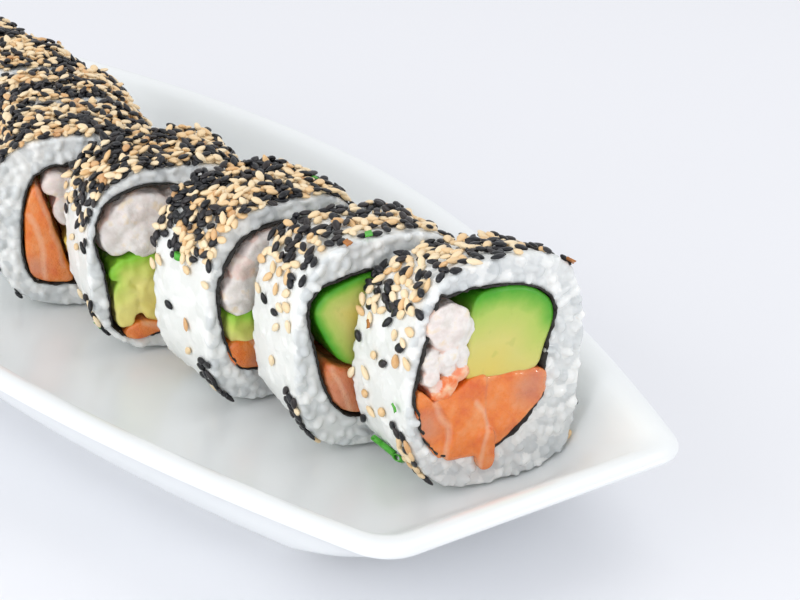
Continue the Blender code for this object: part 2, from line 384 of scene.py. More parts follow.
def plate_section():
    """(inset, extra at the ends, height, corner radius) in mm, from the recess inside the
    foot, out and up the wall, over the rolled rim and down the cove to the floor."""
    foot = FOOT_INSET / MM
    end = FOOT_END / MM
    rim = RIM_HEIGHT / MM
    floor = FLOOR_HEIGHT / MM
    return [
        (foot + 14, end, 1.7, 15), (foot + 8, end, 1.6, 14), (foot + 6.6, end, 0.7, 14),
        (foot + 5.2, end, 0.0, 14), (foot + 3.0, end, 0.0, 14), (foot + 1.0, end, 0.0, 14),
        (foot + 0.1, end, 0.7, 14), (foot - 0.6, end, 2.2, 14),
        (foot - 2.5, end - 0.6, 3.4, 14), (foot - 6.9, end - 1.4, 6.0, 14),
        (foot - 11.3, end - 3.6, 10.0, 14), (9.7, 8.8, rim - 12.7, 10),
        (7.1, 5.2, rim - 9.2, 9.8), (4.2, 1.8, rim - 5.7, 9.7), (1.5, 0.2, rim - 3.2, 9.8),
        (0.3, 0.0, rim - 2.3, 10), (0.0, 0.0, rim - 1.5, 10), (0.7, 0.0, rim - 0.5, 9.8),
        (2.2, 0.0, rim, 9.4), (4.1, 0.0, rim - 0.15, 8.8), (5.8, 0.1, rim - 0.9, 8.5),
        (7.2, 0.7, rim - 2.3, 10), (8.9, 2.4, rim - 5.3, 12), (10.7, 6.4, floor + 10.6, 13.5),
        (13.2, 9.0, floor + 6.5, 14), (16.2, 9.6, floor + 3.4, 14), (20.0, 8.4, floor + 1.3, 14),
        (24.5, 6.4, floor + 0.3, 14), (29.0, 4.4, floor, 14.5), (34.0, 4.4, floor, 15),
    ]


def refined(rows, steps):
    """A smooth open curve through the rows."""
    rows = np.array(rows, float)
    padded = np.vstack([2 * rows[0] - rows[1], rows, 2 * rows[-1] - rows[-2]])
    result = []
    for i in range(len(rows) - 1):
        p0, p1, p2, p3 = padded[i:i + 4]
        for t in np.linspace(0, 1, steps, endpoint=False):
            result.append(0.5 * (2 * p1 + (p2 - p0) * t + (2 * p0 - 5 * p1 + 4 * p2 - p3) * t ** 2
                                 + (3 * p1 - p0 - 3 * p2 + p3) * t ** 3))
    return result + [rows[-1]]


def make_plate(material):
    loops = []
    for row in refined(plate_section(), 3):
        inset, extra, height, corner = np.maximum(row, 0.0) * MM
        outline = plate_outline(inset, extra, corner)
        loops.append([(x, y, min(height, RIM_HEIGHT)) for x, y in outline])
    bm = bmesh.new()
    rings = loft(bm, loops)
    for ring in (rings[0], rings[-1]):
        bm.faces.new(ring)
    bmesh.ops.recalc_face_normals(bm, faces=bm.faces)
    obj = add_mesh("plate_glazed", *as_arrays(bm), material)
    keep(obj, "porcelain", "plate")


# ---------------------------------------------------------------- copies of a small shape

def ball_template(segments, rings):
    """A unit ball of few faces, its poles on the X axis: points and faces."""
    bm = bmesh.new()
    bmesh.ops.create_uvsphere(bm, u_segments=segments, v_segments=rings, radius=1.0)
    bmesh.ops.rotate(bm, verts=bm.verts, matrix=Matrix.Rotation(math.pi / 2, 3, "Y"))
    return as_arrays(bm)


def seed_template():
    """A sesame seed: a flat drop, one end pointed."""
    points, faces = ball_template(8, 6)
    along = points[:, 0]
    narrowing = 0.66 + 0.34 * smoothstep(-1.0, 0.25, along)
    shape = points * np.stack([np.ones(len(points)), narrowing, narrowing ** 0.5], axis=1)
    half = np.array((SEED_LENGTH, SEED_WIDTH, SEED_THICKNESS)) / 2
    return shape * half, faces


def grain_template():
    """A cooked grain: a long ball, its ends blunt."""
    points, faces = ball_template(8, 5)
    blunt = np.sign(points[:, :1]) * np.abs(points[:, :1]) ** 0.85
    half = np.array((GRAIN_LENGTH, GRAIN_WIDTH, GRAIN_WIDTH)) / 2
    return np.hstack([blunt, points[:, 1:]]) * half, faces


def placed_copies(template, places, axes, scales):
    """Every copy's points: each copy has a place, three axes as rows, and three scales."""
    shape = template[0]
    local = shape[None] * scales[:, None, :]
    return np.einsum("nij,njk->nik", local, axes) + places[:, None, :]


def copies_faces(template, count, offset=0):
    size = len(template[0])
    return [tuple(i + offset + size * k for i in face)
            for k in range(count) for face in template[1]]


def random_axes(normals, alongs, spin, tilt):
    """Axes of things that lie on a surface: turned by spin, then tipped by tilt."""
    normals = normals / np.linalg.norm(normals, axis=1)[:, None]
    others = np.cross(normals, alongs)
    long = alongs * np.cos(spin)[:, None] + others * np.sin(spin)[:, None]
    wide = np.cross(normals, long)
    long, lifted = (long * np.cos(tilt)[:, None] + normals * np.sin(tilt)[:, None],
                    normals * np.cos(tilt)[:, None] - long * np.sin(tilt)[:, None])
    return np.stack([long, wide, lifted], axis=1)


def spread_out(candidates, spacing):
    """Dart throwing: the candidates that keep their distance from those before them."""
    kept = []
    grid = {}
    for index, point in enumerate(candidates):
        cell = tuple(np.floor(point / spacing).astype(int))
        near = [grid.get(tuple(np.add(cell, step)), ()) for step in NEIGHBOURS[len(cell)]]
        if all(np.sum((point - other) ** 2) > spacing ** 2 for group in near for other in group):
            grid.setdefault(cell, []).append(point)
            kept.append(index)
    return np.array(kept, int)


NEIGHBOURS = {
    2: [(x, y) for x in (-1, 0, 1) for y in (-1, 0, 1)],
    3: [(x, y, z) for x in (-1, 0, 1) for y in (-1, 0, 1) for z in (-1, 0, 1)],
}


# ---------------------------------------------------------------- rice

def rice_core(piece, rows=14):
    """The core of a slice's rice: side, two cut faces and the tunnel for the filling."""
    outer = resample(piece.outline - outward(piece.outline) * CORE_INSET, 96)
    centre = piece.hole.mean(axis=0)
    hole = np.array([centre + (p - centre) / np.linalg.norm(p - centre)
                     * Slice.ray(piece.hole, centre, p) for p in outer])
    front = 0.6 * MM
    back = piece.depth - front
    edge = outer - outward(outer) * 0.5 * MM
    across = (0.2, 0.5, 0.8, 1.0)
    sections = [(outer, d) for d in np.linspace(front + 0.7 * MM, back - 0.7 * MM, rows)]
    sections += [(edge, back)]
    sections += [(edge + (hole - edge) * share, back) for share in across]
    sections += [(hole, front)]
    sections += [(hole + (edge - hole) * share, front) for share in across]
    bm = bmesh.new()
    loft(bm, [[(x, y, depth) for x, y in ring] for ring, depth in sections], closed=True)
    return as_arrays(bm)


def side_grains(piece):
    """Places and axes of the grains pressed flat into a slice's side, and the room each has."""
    rim = piece.outline
    normals = outward(rim)
    at = RNG.uniform(0, len(rim), SIDE_TRIES)
    depth = RNG.uniform(0.6 * MM, piece.depth - 0.6 * MM, SIDE_TRIES)
    index = at.astype(int)
    share = (at - index)[:, None]
    nxt = (index + 1) % len(rim)
    flat = rim[index] * (1 - share) + rim[nxt] * share
    normal = normals[index] * (1 - share) + normals[nxt] * share
    local = np.hstack([flat, depth[:, None]])
    kept = spread_out(local, GRAIN_SPACING_SIDE)
    local, normal = local[kept], normal[kept]
    sink = RNG.normal(1.0, 0.10, len(kept)) * 1.12 * MM
    local[:, :2] -= normal * sink[:, None]
    normal3 = np.hstack([normal, np.zeros((len(kept), 1))])
    along = np.tile((0.0, 0.0, 1.0), (len(kept), 1))
    spin = RNG.uniform(0, math.pi, len(kept))
    axes = random_axes(normal3, along, spin, RNG.normal(0, 0.06, len(kept)))
    margin = np.minimum(local[:, 2], piece.depth - local[:, 2])
    reach = 0.5 * GRAIN_LENGTH * np.abs(axes[:, 0, 2])
    over = np.clip(reach - margin - 0.1 * MM, 0, None)
    local[:, 2] += np.where(local[:, 2] < piece.depth / 2, over, -over)
    return local, axes, np.full(len(kept), np.inf)


def cut_grains(piece, front):
    """Places and axes of the grains that show at a cut face, and the room that each has."""
    low, high = piece.outline.min(axis=0), piece.outline.max(axis=0)
    candidates = RNG.uniform(low, high, (CUT_TRIES, 2))
    ring = inside(candidates, piece.outline) & ~inside(candidates, piece.hole)
    clear = ((edge_distance(candidates, piece.outline) > 1.0 * MM)
             & (edge_distance(candidates, piece.hole) > 0.8 * MM))
    candidates = candidates[ring & clear]
    kept = spread_out(candidates, GRAIN_SPACING_CUT)
    flat = candidates[kept]
    room = np.minimum(edge_distance(flat, piece.outline) - 0.1 * MM,
                      edge_distance(flat, piece.hole) + 0.5 * MM)
    sink = RNG.normal(0.95, 0.22, len(kept)) * MM
    depth = sink if front else piece.depth - sink
    local = np.hstack([flat, depth[:, None]])
    facing = -1.0 if front else 1.0
    normal = np.tile((0.0, 0.0, facing), (len(kept), 1))
    along = np.tile((1.0, 0.0, 0.0), (len(kept), 1))
    spin = RNG.uniform(0, math.pi, len(kept))
    axes = random_axes(normal, along, spin, RNG.normal(0, 0.35, len(kept)))
    return local, axes, room


def make_rice(piece, material, template):
    core, faces = rice_core(piece)
    groups = [side_grains(piece), cut_grains(piece, True), cut_grains(piece, False)]
    local, axes, room = (np.concatenate(part) for part in zip(*groups))
    count = len(local)
    scales = RNG.normal((0.95, 1.0, 0.92), (0.13, 0.07, 0.06), (count, 3)).clip(0.6, 1.3)
    cut = np.isfinite(room)
    scales[cut] *= RNG.uniform((0.45, 0.75, 0.8), (0.95, 1.05, 1.1), (int(cut.sum()), 3))
    scales[:, 0] = np.minimum(scales[:, 0], room / (0.5 * GRAIN_LENGTH)).clip(0.35)
    grains = placed_copies(template, local, axes, scales).reshape(-1, 3)
    points = np.vstack([core, grains])
    points[:, 1] = np.maximum(points[:, 1], 0.05 * MM)
    faces = faces + copies_faces(template, count, len(core))
    mesh = bpy.data.meshes.new("grains")
    mesh.from_pydata([tuple(p) for p in points], [], faces)
    points, faces = softened(mesh, (0.38 if piece.number < 3 else 0.5) * MM, 0.5, 1)
    nearest = kdtree.KDTree(count)
    for index, place in enumerate(local):
        nearest.insert(place, index)
    nearest.balance()
    shade = RNG.uniform(0, 1, count)
    tone = [shade[nearest.find(point)[1]] for point in points]
    # How far a point lies on a cut face: there the rice is wetter and greyer, the grey partly
    # painted shade
    from_cut = np.minimum(points[:, 2], piece.depth - points[:, 2])
    shown = 1.0 - smoothstep(0.5 * MM, 2.2 * MM, from_cut)
    obj = add_mesh(f"rice_grains_{piece.number}", piece.world(points), faces, material,
                   {"tone": tone, "cut": shown})
    keep(obj, "rice", f"rice_{piece.number}")


# ---------------------------------------------------------------- nori

def wobble(count, lumps, seed):
    """A smooth closed random line with about so many lumps, from -1 to 1."""
    angle = np.linspace(0, 2 * math.pi, count, endpoint=False)
    radius = lumps / 6.0
    values = [noise.noise(Vector((math.cos(a) * radius, math.sin(a) * radius, seed)))
              for a in angle]
    return np.array(values) * 1.6


def make_nori(piece, material):
    """The crinkled band between rice and filling; it stands a little proud of the cut."""
    count = 320
    line = resample(piece.hole, count)
    normal = outward(line)
    seed = piece.number * 7.3
    middle = line - normal * (0.12 * MM + 0.26 * MM * wobble(count, 46, seed))[:, None]
    half = 0.10 + 0.20 * np.abs(wobble(count, 60, seed + 3)) + 0.08 * wobble(count, 130, seed)
    half = np.clip(half, 0.07, 0.40) * MM
    lift = 0.10 * MM + 0.30 * MM * wobble(count, 90, seed + 5)
    outer = middle + normal * half[:, None]
    inner = middle - normal * half[:, None]
    front, back = -lift, piece.depth + lift
    bm = bmesh.new()
    loft(bm, [piece.world(np.hstack([edge, depth[:, None]])) for edge, depth in (
        (outer, front), (outer, back), (inner, back), (inner, front))], closed=True)
    bmesh.ops.recalc_face_normals(bm, faces=bm.faces)
    obj = add_mesh(f"nori_band_{piece.number}", *as_arrays(bm), material)
    keep(obj, "nori", f"nori_{piece.number}")


# ---------------------------------------------------------------- fillings

def rounded(corners, times=2):
    """Corner cutting: each corner becomes a short curve."""
    corners = np.asarray(corners, float)
    for _ in range(times):
        before = np.roll(corners, 1, axis=0)
        corners = np.stack([before * 0.75 + corners * 0.25, before * 0.25 + corners * 0.75],
                           axis=1).reshape(-1, 2)
    return corners


def ellipse(x, y, across, up, turn=0.0, count=20):
    angle = np.linspace(0, 2 * math.pi, count, endpoint=False)
    flat = np.stack([across * np.cos(angle), up * np.sin(angle)], axis=1)
    turn = math.radians(turn)
    spin = np.array(((math.cos(turn), math.sin(turn)), (-math.sin(turn), math.cos(turn))))
    return flat @ spin + (x, y)


def add_log(bm, outline, start, end, bulge):
    """A closed log of an outline from one depth to another, its ends softly domed."""
    outline = np.asarray(outline)
    centre = outline.mean(axis=0)
    sections = ((0.90, start), (1.0, start + 0.5 * MM), (1.0, end - 0.5 * MM), (0.90, end))
    rings = loft(bm, [[(x, y, depth) for x, y in centre + (outline - centre) * scale]
                      for scale, depth in sections])
    for ring, tip in ((rings[0], start - bulge), (rings[-1], end + bulge)):
        dome = bmesh.ops.poke(bm, faces=[bm.faces.new(ring)])
        dome["verts"][0].co = (*centre, tip)


def softened(mesh, voxel, factor=0.6, iterations=2):
    """Overlapping closed shapes made one skin and softened, as points and faces."""
    obj = bpy.data.objects.new("loose shapes", mesh)
    bpy.context.scene.collection.objects.link(obj)
    remesh = obj.modifiers.new("one skin", "REMESH")
    remesh.mode = "VOXEL"
    remesh.voxel_size = voxel
    soften = obj.modifiers.new("soften", "SMOOTH")
    soften.factor = factor
    soften.iterations = iterations
    graph = bpy.context.evaluated_depsgraph_get()
    result = bpy.data.meshes.new_from_object(obj.evaluated_get(graph))
    points = np.array([v.co for v in result.vertices])
    faces = [tuple(p.vertices) for p in result.polygons]
    bpy.data.objects.remove(obj, do_unlink=True)
    bpy.data.meshes.remove(result)
    bpy.data.meshes.remove(mesh)
    return points, faces


def fused(logs, voxel):
    """Overlapping logs made one body and softened. Its points stay in the slice's frame."""
    bm = bmesh.new()
    for outline, start, end, bulge in logs:
        add_log(bm, outline, start, end, bulge)
    bmesh.ops.recalc_face_normals(bm, faces=bm.faces)
    mesh = bpy.data.meshes.new("logs")
    bm.to_mesh(mesh)
    bm.free()
    return softened(mesh, voxel)


def roughen(points, size, amount, seed=0.0):
    """Points moved by smooth noise, as a lumpy surface."""
    shift = Vector((seed, seed * 1.7, seed * 0.3))
    moves = np.array([noise.noise_vector(Vector(p) / size + shift) for p in points])
    return points + moves * amount


def sight(piece):
    """The size of a filling's cells: finest in the first slices, whose cuts show best."""
    return (0.34 if piece.number == 1 else 0.58 if piece.number < 5 else 0.75) * MM


def make_avocado(piece, shapes, material):
    """Lumps of avocado. Each shape gives its corners, and how many of them, from the first,
    lie on the skin side, where the flesh is green."""
    logs = []
    skins = []
    for corners, skin in shapes:
        outline = np.array(corners) * MM
        logs.append((rounded(outline), -0.05 * MM, piece.depth + 0.05 * MM, 0.1 * MM))
        if skin:
            skins.append(outline[:skin])
    points, faces = fused(logs, sight(piece))
    points = roughen(points, 6 * MM, 0.25 * MM, piece.number)
    if piece.number > 2:
        points = roughen(points, 2.4 * MM, 0.55 * MM, piece.number + 10)
    far = 30 * MM
    skin = np.full(len(points), far)
    for line in skins:
        skin = np.minimum(skin, edge_distance(points[:, :2], line, closed=False))
    # From the third slice on, paler and brighter tints: the mash's own colour and painted light
    # against the shade between the slices
    mash_and_painted_light = np.full(len(points), 0.0 if piece.number < 3 else 0.85)
    obj = add_mesh(f"avocado_flesh_{piece.number}", piece.world(points), faces, material,
                   {"skin": skin / MM / RIM_DEPTH.get(piece.number, 1.0), "mash_and_painted_light": mash_and_painted_light})
    keep(obj, "avocado", f"avocado_{piece.number}")


def make_salmon(piece, shapes, fat_lines, pink_patches, material):
    """Strips of salmon. Each shape gives its corners and how far it stands out in front.
    Fat lines are open lines on the cut; the pink patches are x, y and radius."""
    logs = []
    for corners, front, back in shapes:
        end = piece.depth + 0.3 * MM if back is None else back * MM
        logs.append((rounded(np.array(corners) * MM), -front * MM, end, 0.1 * MM))
    points, faces = fused(logs, sight(piece))
    points = roughen(points, 5 * MM, 0.30 * MM, piece.number + 20)
    points = roughen(points, 1.6 * MM, 0.12 * MM, piece.number + 30)
    local = points / MM
    wavy = roughen(np.hstack([local[:, :2], local[:, 2:] * 0.15]), 5.0, 0.8, piece.number)[:, :2]
    fat = np.full(len(points), 9.0)
    for line in fat_lines:
        fat = np.minimum(fat, edge_distance(wavy, line, closed=False))
    pink = np.zeros(len(points))
    for x, y, radius in pink_patches:
        reach = np.hypot(wavy[:, 0] - x, wavy[:, 1] - y)
        pink = np.maximum(pink, 1.0 - smoothstep(radius * 0.1, radius * 1.1, reach))
    obj = add_mesh(f"salmon_strips_{piece.number}", piece.world(points), faces, material,
                   {"across": local[:, 0], "up": local[:, 1], "into": local[:, 2], "fat": fat,
                    "pink": pink})
    keep(obj, "salmon", f"salmon_{piece.number}")


def make_shrimp(piece, lobes, material):
    """Shrimp tails cut across: each lobe is x, y, half-width, half-height, turn, and how much
    of the orange outside it shows."""
    logs = []
    for x, y, across, up, turn, cooked in lobes:
        outline = ellipse(x * MM, y * MM, across * MM, up * MM, turn)
        proud = 0.35 + 0.6 * math.sin(7.0 * x + 3.0 * y)
        logs.append((outline, -proud * MM, piece.depth + 0.2 * MM, 0.6 * MM))
    points, faces = fused(logs, sight(piece))
    points = roughen(points, 3.4 * MM, (0.45 if piece.number < 3 else 0.8) * MM, piece.number + 40)
    points = roughen(points, 1.2 * MM, 0.20 * MM, piece.number + 60)
    flat = points[:, :2] / MM
    rim = np.full(len(points), 9.0)
    cooked = np.zeros(len(points))
    for x, y, across, up, turn, amount in lobes:
        angle = math.radians(turn)
        dx = (flat[:, 0] - x) * math.cos(angle) + (flat[:, 1] - y) * math.sin(angle)
        dy = -(flat[:, 0] - x) * math.sin(angle) + (flat[:, 1] - y) * math.cos(angle)
        reach = np.hypot(dx / across, dy / up)
        nearer = reach < rim
        rim = np.where(nearer, reach, rim)
        cooked = np.where(nearer, amount, cooked)
    obj = add_mesh(f"shrimp_tails_{piece.number}", piece.world(points), faces, material,
                   {"rim": rim, "cooked": cooked})
    keep(obj, "shrimp", f"shrimp_{piece.number}")


# Corners in mm on the slice's cut face: x to the right, y up from its underside
AVOCADO = {
    1: [([(13.9, 39.0), (12.1, 43.4), (5.8, 47.0), (-1, 48.0), (-7.2, 47.0), (-7.9, 36),
          (-9.3, 27), (0, 26.2), (10.2, 25.4), (12.0, 32)], 5)],
    2: [([(8, 43.5), (-2, 43.6), (-9, 42.2), (-15, 40.0), (-17.8, 35.8), (-14, 28),
          (-9.5, 20.8), (4, 20.5), (8, 30)], 7)],
    3: [([(-3, 30), (-6, 28), (-9, 24), (-16, 25.5), (-16.2, 20), (-15, 16.8), (0, 16.4),
          (13.5, 17.5), (14.5, 23), (8, 26)], 4)],
    4: [([(-5, 27), (-9.5, 26.5), (-16.5, 24.5), (-17, 19.5), (-9, 18.5), (-4, 21)], 4),
        ([(-16.3, 20), (-15.5, 8), (-13, 6.2), (-10, 9), (-9.6, 19)], 0),
        ([(-10.5, 20), (-10, 10), (-4, 7.2), (3, 6.6), (12, 11), (13, 23), (0, 23)], 0)],
    5: [([(14.5, 20), (9, 21), (-5.5, 20.5), (-3.5, 13), (-1, 7.8), (9, 8.3), (14, 15)], 0)],
}
# How deep the green goes under the skin, against the first slice's
RIM_DEPTH = {2: 0.45, 7: 0.45}
SALMON = {
    1: [([(-20.2, 28.5), (-16.2, 25), (-12.4, 19), (-12.0, 13), (-12.6, 9.4), (-15.4, 10.4),
          (-19.8, 20)], 0.1, None),
        ([(-16.4, 25), (-10.5, 25.4), (-6.6, 28.4), (-2.6, 28.4), (-3.4, 22), (-1.8, 15),
          (-2, 8.8), (-10, 8.6), (-13.2, 9.2), (-11.6, 14), (-12.2, 19)], 0.75, None),
        ([(-4.4, 28.2), (4, 27.0), (12.9, 26.4), (13.2, 19.7), (8.6, 15.3), (2.6, 10.6),
          (-2, 8.6), (-3.4, 12), (-2.4, 16), (-4.6, 22)], 0.35, None),
        ([(-5.4, 15), (-0.2, 15), (-0.4, 9), (-0.4, 5.2), (-3.6, 4.4), (-5.2, 8.5)], 1.4, 3.4)],
    2: [([(-15.2, 24.5), (-9.5, 21), (4, 20), (12.5, 19), (11, 14), (4.5, 9.6), (-8.6, 9.0),
          (-13.2, 14)], 0.3, None)],
    3: [([(-16.2, 18), (-5, 17.4), (13, 17.6), (14, 13), (9, 9.7), (-11.5, 8.8), (-15.8, 13)],
         0.3, None)],
    4: [([(-14.5, 5), (-11, 9), (-4, 7.6), (2, 7.2), (9, 9.5), (11, 8.5), (3, 6.8), (0, 5.4),
          (-5, 4.9), (-11, 3.2)], 0.4, None)],
    5: [([(-14.8, 24), (-13.6, 31), (-11.4, 36), (-9.2, 31), (-6.8, 22), (-4.2, 13), (-1.5, 6.8),
          (-9, 6.8), (-13.6, 9), (-14.6, 14)], 0.3, None)],
}
FAT_LINES = {
    1: [[(-15.6, 23.6), (-12.2, 18), (-11.8, 14), (-12.9, 9.6)],
        [(-5.6, 21.8), (-3.6, 19.4), (-2.6, 15.6), (-3.4, 10), (-4.2, 4.5)]],
    2: [[(-13, 22), (-10, 16), (-8, 10)], [(-4, 20), (-1, 14), (-2, 9)]],
    3: [[(-10, 17), (-6, 13), (-7, 9)], [(2, 17), (5, 12)]],
    4: [[(-9, 8), (-5, 6)], [(2, 8), (5, 7)]],
    5: [[(-13.2, 27), (-10.4, 20), (-9.6, 8)], [(-11, 35), (-7.6, 22), (-5.4, 12)]],
}
# Darker, pinker patches on the cut, as x, y and radius
PINK_PATCHES = {
    1: ((-17.5, 18.5, 6.0), (8.6, 22.6, 6.5)), 2: ((-11.0, 15.0, 13.0),), 3: ((-8.0, 12.0, 4.0),),
    4: (), 5: ((-12.0, 12.0, 5.0),),
}
SHRIMP = {
    1: [(-13.0, 41.2, 5.2, 5.5, 20, 0.10), (-8.2, 39.6, 2.1, 3.3, 0, 0.05),
        (-16.6, 33.6, 2.5, 3.0, 10, 0.08), (-12.6, 34.2, 2.1, 2.2, 0, 0.04),
        (-9.4, 33.6, 1.9, 3.0, 10, 0.05), (-17.0, 30.0, 2.0, 2.0, 0, 0.12),
        (-12.9, 31.4, 2.0, 1.7, 0, 0.05), (-9.6, 37.2, 1.6, 1.5, 0, 0.03),
        (-13.3, 27.0, 3.6, 2.5, 28, 0.95), (-9.4, 29.4, 2.4, 1.8, 30, 0.85),
        (-15.6, 27.8, 1.8, 1.6, 0, 0.4)],
    2: [(10, 34, 5.0, 7.5, 0, 0.1), (10.5, 25, 4.0, 3.5, 0, 0.6)],
    3: [(-4.5, 38.2, 8.6, 5.2, 12, 0.1), (6.5, 37.5, 6.5, 5.6, -10, 0.1),
        (-12.2, 29.3, 5.4, 5.4, 0, 0.08), (-1.0, 32.3, 6.2, 4.6, 10, 0.12),
        (9.5, 30.5, 5.0, 5.0, 0, 0.3), (-11.6, 35.4, 3.6, 3.6, 0, 0.25)],
    4: [(-9.0, 36.8, 7.6, 5.2, 18, 0.1), (-14.6, 31.4, 4.3, 5.0, 0, 0.08),
        (-7.4, 30.2, 5.2, 4.6, 0, 0.06), (1.5, 35.6, 6.4, 5.6, -15, 0.12),
        (8.5, 30.0, 5.0, 5.4, 0, 0.3)],
    5: [(-6.0, 34.2, 3.8, 3.6, 30, 0.15), (1.5, 33.4, 6.0, 5.2, 0, 0.1),
        (9.0, 30.5, 5.4, 5.6, 0, 0.1), (-2.8, 26.8, 4.4, 4.0, 0, 0.1), (6, 25.2, 5, 3.2, 0, 0.3)],
}
# The slices that show least repeat the fillings of those they match
LOOKS_LIKE = {6: 3, 7: 2, 8: 3}


# ---------------------------------------------------------------- seeds and green bits

# For each slice: how far round its top the seeds lie dense, in degrees from straight up, how
# dense from 0 to 1, how many line the lower near edge of the cut, and how many are strewn on
# the near side
SEEDING = {
    1: (50, 0.62, 20, 26), 2: (48, 0.58, 14, 12), 3: (58, 1.0, 24, 7), 4: (58, 1.0, 9, 8),
    5: (58, 1.0, 5, 6), 6: (58, 1.0, 6, 6), 7: (58, 1.0, 6, 6), 8: (60, 1.0, 8, 8),
}
# The layers of seeds on a top: spacing and height in mm, the share of places taken, the share
# where seeds lie thin, how much narrower the dense part and its fading edge, in degrees, and how
# far the seeds tip
SEED_LAYERS = (
    (1.72, 0.35, 1.0, 1.0, 0, 30, 0.14), (1.9, 0.97, 0.70, 0.35, 12, 14, 0.28),
    (2.4, 1.59, 0.22, 0.0, 24, -2, 0.40),
)
SEED_TRIES = 3200
EDGE_SHARE_BLACK = 0.82


def on_side(piece, at, depth, height):
    """Points a height above a slice's side: at counts round its outline from 0 to 1."""
    rim = piece.outline
    normals = outward(rim)
    index = (np.asarray(at) * len(rim)).astype(int) % len(rim)
    flat = rim[index] + normals[index] * np.asarray(height)[:, None]
    local = np.hstack([flat, np.asarray(depth)[:, None]])
    normal = np.hstack([normals[index], np.zeros((len(index), 1))])
    return local, normal


def seed_places(piece):
    """Local places, normals, tilts and shares of black of one slice's seeds."""
    dense, amount, edge_row, strewn = SEEDING[piece.number]
    rim_normal = outward(piece.outline)
    lean = np.degrees(np.arctan2(-rim_normal[:, 0], rim_normal[:, 1]))
    groups = []
    for spacing, height, taken, thin, narrower, fade, tip in SEED_LAYERS:
        at = RNG.uniform(0, 1, SEED_TRIES)
        depth = RNG.uniform(0.3 * MM, piece.depth - 0.3 * MM, SEED_TRIES)
        angle = lean[(at * len(lean)).astype(int)]
        angle = np.where(angle > 0, angle, -1.2 * angle)
        chance = taken * (1.0 - smoothstep(dense - narrower, dense + fade, angle))
        if amount < 1:
            from_front = smoothstep(2.0 * MM, 9.0 * MM, depth)
            chance *= thin * amount * (0.10 + 0.90 * from_front)
        chosen = RNG.uniform(0, 1, SEED_TRIES) < chance
        heights = (height + RNG.uniform(-0.1, 0.2, SEED_TRIES)) * MM
        local, normal = on_side(piece, at, depth, heights)
        local, normal = local[chosen], normal[chosen]
        kept = spread_out(local, spacing * MM / max(amount, 0.86))
        tilt = RNG.normal(0, tip, len(kept))
        groups.append((local[kept], normal[kept], tilt, np.full(len(kept), 0.5)))
    rows = ((edge_row, 102, 142, 0.3 * MM, 6.0 * MM, EDGE_SHARE_BLACK, 1.9 * MM),
            (strewn // 2, 60, 88, 0.8 * MM, piece.depth - 0.5 * MM, 0.6, 2.2 * MM),
            (strewn // 2, 75, 116, 0.8 * MM, piece.depth - 0.5 * MM, 0.45, 2.6 * MM),
            (9, -118, -60, 0.8 * MM, piece.depth - 0.5 * MM, 0.35, 2.6 * MM))
    for wanted, low, high, near, far, share, spacing in rows:
        sides = np.flatnonzero((lean > low) & (lean < high))
        at = RNG.choice(sides, wanted * 8) / len(lean)
        depth = RNG.uniform(near, far, wanted * 8)
        local, normal = on_side(piece, at, depth, np.full(wanted * 8, 0.34 * MM))
        kept = spread_out(local, spacing)[:wanted]
        groups.append((local[kept], normal[kept], RNG.normal(0, 0.12, len(kept)),
                       np.full(len(kept), share)))
    return [np.concatenate(part) for part in zip(*groups)]


def make_seeds(pieces, materials, template):
    black, tan = ([], []), ([], [])
    for piece in pieces:
        local, normal, tilt, share = seed_places(piece)
        along = np.tile((0.0, 0.0, 1.0), (len(local), 1))
        axes = random_axes(normal, along, RNG.uniform(0, 2 * math.pi, len(local)), tilt)
        local[:, 1] = np.maximum(local[:, 1], 0.6 * MM)
        patch = np.array([noise.noise(Vector(p) / (7 * MM) + Vector((piece.number, 0, 0)))
                          for p in local])
        is_black = RNG.uniform(0, 1, len(local)) < share + 0.9 * patch
        places = piece.world(local)
        turn = np.stack([piece.right, (0.0, 0.0, 1.0), -piece.front])
        axes = axes @ turn
        for kind, chosen in ((black, is_black), (tan, ~is_black)):
            kind[0].append(places[chosen])
            kind[1].append(axes[chosen])
    for name, kind in (("sesame_black", black), ("sesame_tan", tan)):
        places, axes = (np.concatenate(part) for part in kind)
        scales = RNG.normal(1.0, (0.09, 0.09, 0.14), (len(places), 3)).clip(0.7, 1.35)
        points = placed_copies(template, places, axes, scales).reshape(-1, 3)
        tone = np.repeat(RNG.uniform(0, 1, len(places)), len(template[0]))
        obj = add_mesh(name, points, copies_faces(template, len(places)), materials[name],
                       {"tone": tone})
        keep(obj, name)


# Green bits and flakes: slice, place round its outline from 0 to 1, depth in mm, what it is,
# its turn in degrees, and its size in mm
GARNISH = (
    (1, 0.133, 18.6, "ring", 75, 4.2), (1, 0.128, 14.2, "ring", 30, 3.8),
    (1, 0.140, 12.0, "ring", 120, 3.0), (1, 0.025, 4.2, "bit", 60, 2.0),
    (2, 0.775, 1.6, "bit", 20, 2.6), (3, 0.655, 12.5, "ring", 10, 3.4),
    (3, 0.640, 17.0, "bit", 70, 2.6), (3, 0.933, 13.0, "ring", 90, 1.6),
    (3, 0.300, 8.0, "bit", 15, 2.2), (1, 0.575, 6.0, "bit", 80, 2.4),
    (4, 0.120, 6.0, "bit", 40, 2.2),
    (1, 0.648, 0.9, "flake", 35, 4.0), (2, 0.812, 0.9, "flake", 0, 2.4),
    (1, 0.930, 18.0, "flake", 70, 2.0),
)


def ring_shape(length):
    """A short piece of chive, a tube along X."""
    turn = np.linspace(0, 2 * math.pi, 14, endpoint=False)
    bm = bmesh.new()
    loft(bm, [[(x * length * MM, radius * 1.25 * math.cos(angle) * MM,
                radius * 0.75 * math.sin(angle) * MM) for angle in turn]
              for radius, x in ((1.0, -0.5), (1.0, 0.5), (0.68, 0.5), (0.68, -0.5))], closed=True)
    return bm


